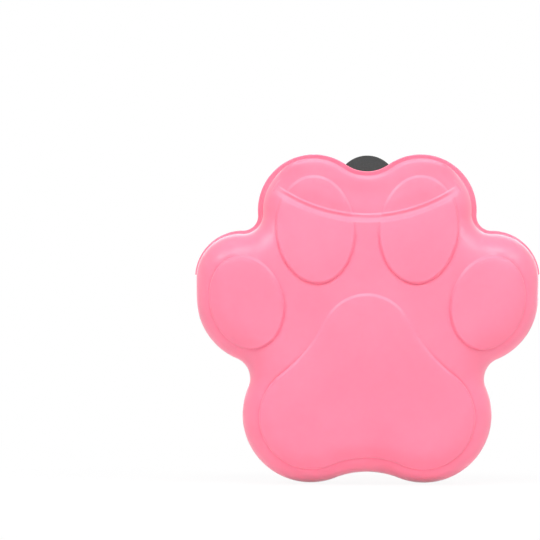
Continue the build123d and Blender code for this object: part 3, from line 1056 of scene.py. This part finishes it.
class ShellMesh:
    """Vertices and faces of a closed shell, with a relief share and direction for each vertex."""

    weld: float = 0.004
    sliver: float = 0.002

    def __init__(self) -> None:
        """Starts with nothing."""
        self.places: list[Points] = []
        self.reliefs: list[Points] = []
        self.lifts: list[Points] = []
        self.faces: list[tuple[int, ...]] = []
        self.count = 0

    def add(self, places: Points, relief: Points | None = None, lift: Points | None = None) -> int:
        """Adds vertices.

        Args:
            places: Their places in metres.
            relief: Their shares of the relief, or None for none.
            lift: The directions of the relief, or None for none.

        Returns:
            Index of the first.
        """
        start = self.count
        self.places.append(places)
        self.reliefs.append(np.zeros(len(places)) if relief is None else relief)
        self.lifts.append(np.zeros((len(places), 3)) if lift is None else lift)
        self.count += len(places)
        return start

    def cover(self, triangles: Points) -> None:
        """Adds triangles."""
        self.faces += [tuple(int(k) for k in row) for row in triangles]

    def extend(self, ring: Sequence[int], places: Points) -> list[int]:
        """Joins a ring of vertices to a new ring with a band of quads.

        Args:
            ring: Vertices of the old ring, in order.
            places: Places of the new ring's vertices, one for each.

        Returns:
            The new ring's vertices.
        """
        start = self.add(places)
        new = list(range(start, start + len(places)))
        for k in range(len(ring)):
            following = (k + 1) % len(ring)
            self.faces.append((ring[k], ring[following], new[following], new[k]))
        return new

    def finish(self, name: str) -> Piece:
        """Welds the shell, turns its faces outwards and links it.

        Args:
            name: Name of the piece.

        Returns:
            The new object.
        """
        mesh = bpy.data.meshes.new(name)
        mesh.from_pydata(np.concatenate(self.places).tolist(), [], self.faces)
        relief = mesh.attributes.new("relief", "FLOAT", "POINT")
        relief.data.foreach_set("value", np.concatenate(self.reliefs).astype(np.float32))
        lift = mesh.attributes.new("lift", "FLOAT_VECTOR", "POINT")
        lift.data.foreach_set("vector", np.concatenate(self.lifts).astype(np.float32).ravel())
        grown = bmesh.new()
        grown.from_mesh(mesh)
        bmesh.ops.remove_doubles(grown, verts=grown.verts, dist=self.weld * MM)
        bmesh.ops.dissolve_degenerate(grown, edges=grown.edges, dist=self.sliver * MM)
        bmesh.ops.recalc_face_normals(grown, faces=grown.faces)
        open_edges = sum(1 for e in grown.edges if not e.is_manifold)
        grown.to_mesh(mesh)
        grown.free()
        LOG.info("%s: %d vertices, %d open edges", name, len(mesh.vertices), open_edges)
        return link(name, mesh)


def link(name: str, data: bpy.types.ID) -> Piece:
    """Puts a mesh, lamp or camera in the scene as an object at the origin.

    Args:
        name: Name of the object.
        data: What it shows.

    Returns:
        The new object.
    """
    piece = bpy.data.objects.new(name, data)
    bpy.context.scene.collection.objects.link(piece)
    return piece


# Node trees


class Nodes:
    """Node tree that is filled node by node."""

    def __init__(self, tree: bpy.types.NodeTree) -> None:
        """Starts with the tree as it stands."""
        self.tree = tree

    def node(self, kind: str, inputs: Inputs | None = None, **settings: object) -> bpy.types.Node:
        """Adds a node.

        Args:
            kind: Type of the node.
            inputs: What feeds its inputs.
            settings: Its settings.

        Returns:
            The node.
        """
        made = self.tree.nodes.new(kind)
        for label, value in settings.items():
            setattr(made, label, value)
        self.feed(made, inputs or {})
        return made

    def feed(self, node: bpy.types.Node, inputs: Inputs) -> None:
        """Joins sockets to a node's inputs, or sets plain values on them.

        Args:
            node: The node.
            inputs: Socket or value of each input, by its name or number.
        """
        for label, value in inputs.items():
            if isinstance(value, Socket):
                self.tree.links.new(value, node.inputs[label])
            else:
                node.inputs[label].default_value = value

    def combined(self, operation: str, *values: Socket | float) -> Socket:
        """Result of a math operation on sockets and numbers."""
        return self.node("ShaderNodeMath", dict(enumerate(values)), operation=operation).outputs[0]

    def either(self, share: Socket, low: bpy.types.Node, high: bpy.types.Node) -> Socket:
        """Mixes the shaders of two nodes."""
        inputs = {0: share, 1: low.outputs[0], 2: high.outputs[0]}
        return self.node("ShaderNodeMixShader", inputs).outputs[0]

    def seen_directly(self) -> Socket:
        """One for what the camera, a reflection or a clear piece shows, and nothing for light.

        Returns:
            The socket.
        """
        path = self.node("ShaderNodeLightPath").outputs
        first = self.combined("MAXIMUM", path["Is Camera Ray"], path["Is Glossy Ray"])
        return self.combined("MAXIMUM", first, path["Is Transmission Ray"])


class Tree(Nodes):
    """Geometry node tree with named inputs, ending in real geometry and one material."""

    def __init__(self, name: str, inputs: dict[str, str]) -> None:
        """Starts the tree.

        Args:
            name: Name of the tree.
            inputs: Socket type of each named input beside the geometry.
        """
        super().__init__(bpy.data.node_groups.new(name, "GeometryNodeTree"))
        sockets = {"Geometry": "NodeSocketGeometry", **inputs, "Material": "NodeSocketMaterial"}
        for label, kind in sockets.items():
            self.tree.interface.new_socket(label, in_out="INPUT", socket_type=kind)
        self.tree.interface.new_socket("Geometry", in_out="OUTPUT", socket_type="NodeSocketGeometry")
        self.start = self.node("NodeGroupInput").outputs

    def finish(self, geometry: Socket) -> bpy.types.NodeTree:
        """Ends the tree.

        Args:
            geometry: Socket that gives the finished shape.

        Returns:
            The tree.
        """
        real = self.node("GeometryNodeRealizeInstances", {"Geometry": geometry}).outputs["Geometry"]
        inputs = {"Geometry": real, "Material": self.start["Material"]}
        dressed = self.node("GeometryNodeSetMaterial", inputs).outputs["Geometry"]
        self.node("NodeGroupOutput", {"Geometry": dressed})
        return self.tree


def raise_relief() -> bpy.types.NodeTree:
    """Tree that lifts each point along its own direction by its share of the relief.

    Returns:
        The tree.
    """
    tree = Tree("raise relief", {"Rise": "NodeSocketFloat"})
    named = "GeometryNodeInputNamedAttribute"
    share = tree.node(named, {"Name": "relief"}, data_type="FLOAT").outputs["Attribute"]
    lift = tree.node(named, {"Name": "lift"}, data_type="FLOAT_VECTOR").outputs["Attribute"]
    height = tree.combined("MULTIPLY", share, tree.start["Rise"])
    move = tree.node("ShaderNodeVectorMath", {0: lift, "Scale": height}, operation="SCALE")
    inputs = {"Geometry": tree.start["Geometry"], "Offset": move.outputs["Vector"]}
    return tree.finish(tree.node("GeometryNodeSetPosition", inputs).outputs["Geometry"])


def wire_along_path() -> bpy.types.NodeTree:
    """Tree that sweeps a round wire along a chain of edges.

    Returns:
        The tree.
    """
    tree = Tree("wire along path", {"Wire Radius": "NodeSocketFloat", "Sides": "NodeSocketInt"})
    path = tree.node("GeometryNodeMeshToCurve", {"Mesh": tree.start["Geometry"]}).outputs["Curve"]
    size = {"Radius": tree.start["Wire Radius"], "Resolution": tree.start["Sides"]}
    ring = tree.node("GeometryNodeCurvePrimitiveCircle", size, mode="RADIUS").outputs["Curve"]
    inputs = {"Fill Caps": True, "Curve": path, "Profile Curve": ring}
    return tree.finish(tree.node("GeometryNodeCurveToMesh", inputs).outputs["Mesh"])


def copies_on_points() -> bpy.types.NodeTree:
    """Tree that sets a copy of a pattern piece on each point.

    Returns:
        The tree.
    """
    tree = Tree("copies on points", {"Pattern": "NodeSocketObject"})
    source = {"Object": tree.start["Pattern"]}
    pattern = tree.node("GeometryNodeObjectInfo", source, transform_space="ORIGINAL")
    inputs = {"Points": tree.start["Geometry"], "Instance": pattern.outputs["Geometry"]}
    return tree.finish(tree.node("GeometryNodeInstanceOnPoints", inputs).outputs["Instances"])


def grow(piece: Piece, tree: bpy.types.NodeTree, values: dict[str, object]) -> None:
    """Runs a tree on a piece and keeps the result as its plain mesh.

    Args:
        piece: Piece that gives the geometry.
        tree: The tree.
        values: Values of its named inputs.
    """
    modifier = piece.modifiers.new(tree.name, "NODES")
    modifier.node_group = tree
    for item in tree.interface.items_tree:
        if item.item_type == "SOCKET" and item.in_out == "INPUT" and item.name in values:
            modifier[item.identifier] = values[item.name]
    settle(piece)


def settle(piece: Piece) -> None:
    """Turns a piece with its modifiers into a plain mesh.

    Args:
        piece: The piece.
    """
    graph = bpy.context.evaluated_depsgraph_get()
    before = piece.data
    shown = piece.evaluated_get(graph)
    made = bpy.data.meshes.new_from_object(shown, preserve_all_data_layers=True, depsgraph=graph)
    piece.modifiers.clear()
    piece.data = made
    bpy.data.meshes.remove(before)
    made.name = piece.name


def shade(piece: Piece, angle: float) -> None:
    """Shades a piece smooth, with edges sharper than angle (in degrees) kept crisp."""
    piece.data.shade_smooth()
    piece.data.set_sharp_from_angle(angle=math.radians(angle))


def turned(name: str, profile: Profile, sides: int = 64) -> Piece:
    """Shape turned about the Y axis.

    Args:
        name: Name of the piece.
        profile: Radius and place along Y of each corner, in millimetres, from pole to pole.
        sides: Number of sides.

    Returns:
        The new object.
    """
    mesh = bpy.data.meshes.new(name)
    made = bmesh.new()
    poles = [made.verts.new((0.0, y * MM, 0.0)) for _, y in (profile[0], profile[-1])]
    around = [(math.cos(t), math.sin(t)) for t in (2.0 * math.pi * k / sides for k in range(sides))]
    rings = []
    for radius, y in profile[1:-1]:
        rings.append([made.verts.new((radius * MM * x, y * MM, radius * MM * z)) for x, z in around])
    for k in range(sides):
        following = (k + 1) % sides
        made.faces.new((poles[0], rings[0][k], rings[0][following]))
        made.faces.new((poles[1], rings[-1][following], rings[-1][k]))
        for low, high in zip(rings, rings[1:]):
            made.faces.new((low[k], high[k], high[following], low[following]))
    bmesh.ops.recalc_face_normals(made, faces=made.faces)
    made.to_mesh(mesh)
    made.free()
    return link(name, mesh)


# Finishes


class Shader(Nodes):
    """Node tree of one material."""

    def __init__(self, name: str) -> None:
        """Starts with the plain surface shader and the piece's own coordinates."""
        self.material = bpy.data.materials.new(name)
        self.material.use_nodes = True
        super().__init__(self.material.node_tree)
        self.surface = self.tree.nodes["Principled BSDF"]
        self.output = self.tree.nodes["Material Output"]
        self.place = self.node("ShaderNodeTexCoord").outputs["Object"]

    def stretched(self, scale: tuple[float, float, float]) -> Socket:
        """The piece's coordinates, stretched."""
        return self.node("ShaderNodeMapping", {"Vector": self.place, "Scale": scale}).outputs["Vector"]

    def noise(self, feature: float, detail: float = 2.0, place: Socket | None = None) -> Socket:
        """Noise whose features are about this many millimetres across."""
        inputs = {"Vector": place or self.place, "Scale": 1.0 / (feature * MM), "Detail": detail}
        return self.node("ShaderNodeTexNoise", inputs).outputs["Fac"]

    def pits(self, feature: float) -> Socket:
        """Small round pits about this many millimetres apart."""
        inputs = {"Vector": self.place, "Scale": 1.0 / (feature * MM)}
        return self.node("ShaderNodeTexVoronoi", inputs).outputs["Distance"]

    def ranged(self, value: Socket, bounds: Span, low: float = 0.0, high: float = 1.0) -> Socket:
        """Maps a value between bounds to low and high.

        Args:
            value: The value.
            bounds: Where its range starts and ends.
            low: Result at the start and below it.
            high: Result at the end and above it.

        Returns:
            The result.
        """
        span = {"From Min": bounds[0], "From Max": bounds[1], "To Min": low, "To Max": high}
        return self.node("ShaderNodeMapRange", {"Value": value, **span}).outputs["Result"]

    def mixed(self, share: Socket, low: Color, high: Color) -> Socket:
        """Mixes two colours."""
        inputs = {0: share, 6: (*low, 1.0), 7: (*high, 1.0)}
        return self.node("ShaderNodeMix", inputs, data_type="RGBA").outputs[2]

    def summed(self, first: Socket, second: Socket, share: float) -> Socket:
        """First value plus a share of the second."""
        return self.combined("MULTIPLY_ADD", second, share, first)

    def bump(self, height: Socket, distance: float) -> Socket:
        """Slope of a surface roughened by this height, in millimetres."""
        inputs = {"Height": height, "Distance": distance * MM, "Strength": 1.0}
        return self.node("ShaderNodeBump", inputs).outputs["Normal"]


@dataclass(frozen=True)
class SiliconeFinish:
    """Matte soft-touch silicone: even pink, a little light passing through, a fine moulded grain."""

    name: str = "pink_silicone"
    deep: Color = (0.96, 0.224, 0.342)
    pale: Color = (0.98, 0.244, 0.366)
    roughness: Span = (0.3, 0.36)
    refraction: float = 1.46
    sheen: float = 0.42
    glow: float = 0.3
    glow_reach: float = 1.0
    glow_shares: Color = (1.0, 0.3, 0.38)
    clouds: float = 26.0
    mottle: float = 4.0
    rubbed: float = 9.0
    ripple: float = 1.6
    grain: float = 0.25
    grain_depth: float = 0.006

    def build(self) -> Material:
        """Makes the material.

        Returns:
            The material.
        """
        made = Shader(self.name)
        tint = made.summed(made.noise(self.clouds), made.noise(self.mottle, detail=3.0), 0.25)
        grain = made.summed(made.noise(self.grain, detail=3.0), made.noise(self.ripple), 0.6)
        looks = {
            "Base Color": made.mixed(made.ranged(tint, (0.45, 0.8)), self.deep, self.pale),
            "Roughness": made.ranged(made.noise(self.rubbed), (0.35, 0.65), *self.roughness),
            "IOR": self.refraction,
            "Subsurface Weight": self.glow,
            "Subsurface Radius": self.glow_shares,
            "Subsurface Scale": self.glow_reach * MM,
            "Specular IOR Level": self.sheen,
            "Normal": made.bump(grain, self.grain_depth),
        }
        made.feed(made.surface, looks)
        return made.material


@dataclass(frozen=True)
class MouldedPlasticFinish:
    """Near-black moulded plastic with a spark-eroded speckle."""

    name: str = "black_plastic"
    base: Color = (0.010, 0.012, 0.012)
    speckle: Color = (0.027, 0.031, 0.031)
    roughness: Span = (0.42, 0.56)
    refraction: float = 1.5
    rubbed: float = 5.0
    grain: float = 0.32
    grain_depth: float = 0.03

    def build(self) -> Material:
        """Makes the material.

        Returns:
            The material.
        """
        made = Shader(self.name)
        grain = made.summed(made.noise(self.grain), made.pits(self.grain * 1.5), -0.35)
        looks = {
            "Base Color": made.mixed(made.ranged(grain, (0.3, 0.62)), self.base, self.speckle),
            "Roughness": made.ranged(made.noise(self.rubbed), (0.35, 0.65), *self.roughness),
            "IOR": self.refraction,
            "Normal": made.bump(grain, self.grain_depth),
        }
        made.feed(made.surface, looks)
        return made.material


@dataclass(frozen=True)
class MetalFinish:
    """Bare or plated metal with a fine directional grain and a little tarnish."""

    name: str
    bright: Color
    dull: Color
    roughness: Span
    stretch: tuple[float, float, float] = (1.0, 1.0, 1.0)
    tarnish: float = 2.5
    grain: float = 0.3
    grain_depth: float = 0.004

    def build(self) -> Material:
        """Makes the material.

        Returns:
            The material.
        """
        made = Shader(self.name)
        grain = made.noise(self.grain, detail=3.0, place=made.stretched(self.stretch))
        patches = made.ranged(made.noise(self.tarnish, detail=3.0), (0.4, 0.7))
        looks = {
            "Base Color": made.mixed(patches, self.bright, self.dull),
            "Metallic": 1.0,
            "Roughness": made.ranged(grain, (0.3, 0.7), *self.roughness),
            "Normal": made.bump(grain, self.grain_depth),
        }
        made.feed(made.surface, looks)
        return made.material


DRAWN_STEEL = MetalFinish(
    "drawn_steel", (0.72, 0.72, 0.71), (0.55, 0.55, 0.54), (0.16, 0.3), stretch=(1.0, 0.2, 0.2)
)
SPRING_WIRE = MetalFinish("spring_wire", (0.52, 0.52, 0.52), (0.36, 0.35, 0.34), (0.25, 0.42))
ZINC_PLATE = MetalFinish("zinc_plate", (0.62, 0.63, 0.66), (0.45, 0.47, 0.52), (0.22, 0.4))
NICKEL_PLATE = MetalFinish("nickel_plate", (0.68, 0.66, 0.62), (0.58, 0.56, 0.52), (0.1, 0.22))


@dataclass(frozen=True)
class FloorFinish:
    """White sweep that keeps a soft trace of shadow near the object."""

    name: str = "white_sweep"
    reach: Span = (0.12, 0.35)
    veil: float = 0.93
    matte: Color = (0.88, 0.88, 0.88)

    def build(self) -> Material:
        """Makes the material.

        Returns:
            The material.
        """
        made = Shader(self.name)
        away = made.node("ShaderNodeVectorMath", {0: made.place}, operation="LENGTH").outputs["Value"]
        veil = made.ranged(away, self.reach, self.veil, 1.0)
        share = made.combined("MULTIPLY", veil, made.seen_directly())
        matte = made.node("ShaderNodeBsdfDiffuse", {"Color": (*self.matte, 1.0)})
        white = made.node("ShaderNodeEmission", {"Strength": 1.0})
        made.feed(made.output, {"Surface": made.either(share, matte, white)})
        made.tree.nodes.remove(made.surface)
        return made.material


@dataclass(frozen=True)
class Lamp:
    """Soft flat lamp, in metres and watts."""

    name: str
    place: tuple[float, float, float]
    width: float
    height: float
    power: float


@dataclass
class Studio:
    """White floor, soft light and the camera."""

    floor_z: float = -0.0945
    floor_half: float = 4.0
    ambient: float = 0.35
    aim: tuple[float, float, float] = (-0.0353, -0.0209, -0.0172)
    camera_place: tuple[float, float, float] = (0.0, -1.1117, -0.034)
    lens: float = 200.0
    sensor: float = 36.0
    clip: Span = (0.05, 50.0)
    roll: float = 0.1
    lamps: tuple[Lamp, ...] = (
        Lamp("front_softbox", (0.0, -1.05, 0.25), 1.1, 1.1, 2.1),
        Lamp("top_softbox", (0.0, -0.42, 0.86), 0.6, 0.22, 4.2),
        Lamp("left_top_softbox", (-0.58, -0.42, 0.64), 0.5, 0.22, 3.0),
        Lamp("right_top_softbox", (0.58, -0.42, 0.64), 0.5, 0.22, 3.0),
        Lamp("back_softbox", (0.0, 1.05, 0.25), 1.1, 1.1, 6.5),
    )

    def build(self) -> None:
        """Makes the floor, the world, the lamps and the camera."""
        bpy.context.scene.view_settings.view_transform = "Standard"
        self._floor()
        self._world()
        for lamp in self.lamps:
            self._lamp(lamp)
        self._camera()

    def _floor(self) -> None:
        """White floor under the object."""
        half = self.floor_half
        corners = [(x * half, y * half, 0.0) for x, y in ((-1, -1), (1, -1), (1, 1), (-1, 1))]
        mesh = bpy.data.meshes.new("white_floor")
        mesh.from_pydata(corners, [], [(0, 1, 2, 3)])
        floor = link("white_floor", mesh)
        floor.location.z = self.floor_z
        mesh.materials.append(FloorFinish().build())

    def _world(self) -> None:
        """Even light from all round, shown as white."""
        world = bpy.data.worlds.new("studio")
        world.use_nodes = True
        bpy.context.scene.world = world
        world.node_tree.nodes.clear()
        made = Nodes(world.node_tree)
        white = {"Color": (1.0, 1.0, 1.0, 1.0)}
        light = made.node("ShaderNodeBackground", {**white, "Strength": self.ambient})
        shown = made.node("ShaderNodeBackground", white)
        made.node("ShaderNodeOutputWorld", {"Surface": made.either(made.seen_directly(), light, shown)})

    def _toward_aim(self, place: tuple[float, float, float]) -> Quaternion:
        """Turn that points a lamp or camera at the object."""
        return (Vector(self.aim) - Vector(place)).to_track_quat("-Z", "Y")

    def _lamp(self, lamp: Lamp) -> None:
        """Soft lamp aimed at the object.

        Args:
            lamp: Its size, place and power.
        """
        data = bpy.data.lights.new(lamp.name, "AREA")
        data.shape = "RECTANGLE"
        data.size, data.size_y = lamp.width, lamp.height
        data.energy = lamp.power
        made = link(lamp.name, data)
        made.location = lamp.place
        made.rotation_euler = self._toward_aim(lamp.place).to_euler()

    def _camera(self) -> None:
        """Camera at the photographed view."""
        data = bpy.data.cameras.new("camera")
        data.lens = self.lens
        data.sensor_width = self.sensor
        data.clip_start, data.clip_end = self.clip
        camera = link("camera", data)
        place = Matrix.Translation(self.camera_place)
        turn = self._toward_aim(self.camera_place).to_matrix().to_4x4()
        camera.matrix_world = place @ turn @ Matrix.Rotation(math.radians(self.roll), 4, "Z")
        bpy.context.scene.camera = camera


# The other pieces


def node_copy(node: str, name: str, angle: float, weld: float = 0.001) -> Piece:
    """Welded copy of a rigid CAD node, with its curves shaded smooth.

    Args:
        node: Name of the node.
        name: Name of the new piece.
        angle: Edges sharper than this many degrees stay crisp.
        weld: Points nearer than this many millimetres are joined.

    Returns:
        The new object.
    """
    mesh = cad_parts[node].data.copy()
    made = bmesh.new()
    made.from_mesh(mesh)
    bmesh.ops.remove_doubles(made, verts=made.verts, dist=weld * MM)
    made.to_mesh(mesh)
    made.free()
    if "custom_normal" in mesh.attributes:
        mesh.attributes.remove(mesh.attributes["custom_normal"])
    mesh.materials.clear()
    piece = link(name, mesh)
    shade(piece, angle)
    return piece


@dataclass
class RigidPiece:
    """One rigid piece that keeps its CAD shape and gets a real finish."""

    node: str
    name: str
    body: str
    slot: Slot
    finish: Material
    angle: float = 32.0
    softening: float = 0.0

    def build(self) -> Piece:
        """Makes the piece and lets it ride on its body.

        Returns:
            The piece.
        """
        piece = node_copy(self.node, self.name, self.angle)
        if self.softening:
            bevel = piece.modifiers.new("softened", "BEVEL")
            bevel.width = self.softening * MM
            bevel.segments = 2
            bevel.limit_method = "ANGLE"
            bevel.angle_limit = math.radians(self.angle)
            settle(piece)
            shade(piece, self.angle)
        piece.data.materials.append(self.finish)
        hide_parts(self.node)
        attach(piece, self.body)
        return piece


@dataclass
class MagnetSet:
    """The two magnets of one lip and the silicone plugs that close their pockets."""

    side: Side
    silicone: Material
    nickel: Material
    sizes: PouchSizes = field(default_factory=PouchSizes)
    chamfer: float = 0.25
    ring: float = 4.6
    groove: float = 0.2
    rounding: float = 0.3
    angle: float = 30.0

    def _profile(self, radius: float, low: float, high: float, ring: float) -> Profile:
        """Turned profile of a disc, with a shallow ring on its outer face.

        Args:
            radius: Radius of the disc.
            low: Depth of its outer face.
            high: Depth of its inner face.
            ring: Radius of the ring, or 0 for none.

        Returns:
            Radius and place along Y of each corner.
        """
        c, g = self.chamfer, self.groove
        soft = self.rounding * c
        rows = [(0.0, low)]
        if ring:
            rows += [(ring - 2.0 * g, low), (ring - g, low + g), (ring + g, low + g), (ring + 2.0 * g, low)]
        rows += [(radius - c, low), (radius - soft, low + soft), (radius, low + c)]
        rows += [(radius, high - c), (radius - soft, high - soft), (radius - c, high), (0.0, high)]
        return [(r, self.sizes.middle_y - self.side.sign * depth) for r, depth in rows]

    def build(self) -> list[Piece]:
        """Makes the pair of magnets and the pair of plugs.

        Returns:
            The two pieces.
        """
        s = self.sizes
        low = s.slit / 2.0
        high = low + s.cap_height
        profile = self._profile(s.cap_radius, low, high, self.ring)
        plugs = self._pair("plugs", "_cap", profile, self.silicone)
        low = high + s.pocket_gap
        profile = self._profile(s.magnet_radius, low, low + s.magnet_height, 0.0)
        return [plugs, self._pair("magnets", "", profile, self.nickel)]

    def _pair(self, word: str, ending: str, profile: Profile, finish: Material) -> Piece:
        """Sets a turned disc on the two points of this lip.

        Args:
            word: Plain word for the pair.
            ending: Ending of the names of the CAD nodes that it replaces.
            profile: Profile of the disc.
            finish: Its material.

        Returns:
            The piece.
        """
        pattern = turned("pattern", profile)
        shade(pattern, self.angle)
        s = self.sizes
        mesh = bpy.data.meshes.new(word)
        up = (s.magnet_y - s.paw_drop) * MM
        mesh.from_pydata([(x * s.magnet_x * MM, 0.0, up) for x in (1, -1)], [], [])
        piece = link(f"{self.side.word}_{word}", mesh)
        grow(piece, copies_on_points(), {"Pattern": pattern, "Material": finish})
        bpy.data.objects.remove(pattern)
        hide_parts(*(f"{self.side.word}_{hand}_magnet{ending}" for hand in ("right", "left")))
        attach(piece, self.side.mouth)
        return piece


@dataclass
class TorsionSpring:
    """Coil round the hinge pin with a leg on the plate and a leg under the thumb tab, in millimetres."""

    finish: Material
    pivot: tuple[float, float] = (3.9, 7.0)
    coil_radius: float = 2.4
    wire_radius: float = 0.6
    pitch: float = 1.72
    turns: float = 4.5
    leg: float = 8.0
    wound: Span = (2.6, 5.8)
    steps: int = 40
    leg_steps: int = 8
    sides: int = 16
    angle: float = 40.0

    def _path(self) -> Points:
        """Middle line of the wire.

        Returns:
            Its points, in millimetres.
        """
        count = round(self.turns * self.steps)
        turn = 2.0 * math.pi * self.turns * np.arange(count + 1) / count
        x = self.pitch * (turn / (2.0 * math.pi) - self.turns / 2.0)
        y = self.pivot[0] - self.coil_radius * np.cos(turn)
        z = self.pivot[1] - self.coil_radius * np.sin(turn)
        coil = np.column_stack([x, y, z])
        heads = [coil[1] - coil[0], coil[-1] - coil[-2]]
        first, last = (h / np.linalg.norm(h) * self.leg for h in heads)
        reach = np.linspace(0.0, 1.0, self.leg_steps + 1)[1:, None]
        return np.concatenate([(coil[0] - first * reach)[::-1], coil, coil[-1] + last * reach])

    def build(self) -> Piece:
        """Makes the spring and hides the CAD spring that it stands for.

        Returns:
            The piece.
        """
        path = self._path() * MM
        mesh = bpy.data.meshes.new("torsion_spring_wire")
        mesh.from_pydata(path.tolist(), [(k, k + 1) for k in range(len(path) - 1)], [])
        piece = link("torsion_spring_wire", mesh)
        size = {"Wire Radius": self.wire_radius * MM, "Sides": self.sides}
        grow(piece, wire_along_path(), {**size, "Material": self.finish})
        shade(piece, self.angle)
        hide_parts("torsion_spring")
        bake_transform(piece)
        return piece


@dataclass
class SiliconePouch:
    """Both halves of the moulding."""

    silicone: Material
    sizes: PouchSizes = field(default_factory=PouchSizes)
    angle: float = 50.0

    def build(self) -> list[Piece]:
        """Makes both halves.

        Returns:
            The two pieces.
        """
        tree = raise_relief()
        made = []
        for side in Side:
            half = PouchHalf(side, self.sizes)
            piece = half.build()
            grow(piece, tree, {"Rise": self.sizes.pad_rise * MM, "Material": self.silicone})
            shade(piece, self.angle)
            half.bend(piece)
            made.append(piece)
        return made


@dataclass
class BeltClip:
    """Screwed plate, sprung arm, hinge pin and spring."""

    plastic: Material
    pin: Material
    wire: Material

    def build(self) -> list[Piece]:
        """Makes the clip's pieces.

        Returns:
            The pieces.
        """
        rigid = [
            RigidPiece("clip_base", "clip_plate", "pouch", Slot.PLASTIC, self.plastic),
            RigidPiece("clip_arm", "clip_spring_arm", "arm", Slot.PLASTIC, self.plastic),
            RigidPiece("hinge_pin", "clip_pin", "pouch", Slot.PIN, self.pin),
        ]
        return [piece.build() for piece in rigid] + [TorsionSpring(self.wire).build()]


@dataclass
class InsideFixings:
    """Plate and screws inside the pouch that hold the clip."""

    plastic: Material
    zinc: Material

    def build(self) -> list[Piece]:
        """Makes the fixings.

        Returns:
            The pieces.
        """
        rigid = [
            RigidPiece("backing_plate", "inner_plate", "pouch", Slot.PLASTIC, self.plastic, softening=0.2),
            RigidPiece("upper_screw", "upper_pan_screw", "pouch", Slot.SCREW, self.zinc),
            RigidPiece("lower_screw", "lower_pan_screw", "pouch", Slot.SCREW, self.zinc),
        ]
        return [piece.build() for piece in rigid]


def main() -> None:
    """Builds the pouch, its clip and the studio, and logs the number of faces of each piece."""
    logging.basicConfig(level=logging.INFO, format="%(message)s")
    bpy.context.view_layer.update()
    silicone = SiliconeFinish().build()
    plastic = MouldedPlasticFinish().build()
    metals = (DRAWN_STEEL, SPRING_WIRE, ZINC_PLATE, NICKEL_PLATE)
    pin, wire, zinc, nickel = (metal.build() for metal in metals)
    made = SiliconePouch(silicone).build()
    for side in Side:
        made += MagnetSet(side, silicone, nickel).build()
    made += BeltClip(plastic, pin, wire).build()
    made += InsideFixings(plastic, zinc).build()
    for piece in made:
        LOG.info("%s: %d faces", piece.name, len(piece.data.polygons))
    Studio().build()


if __name__ == "__main__":
    main()
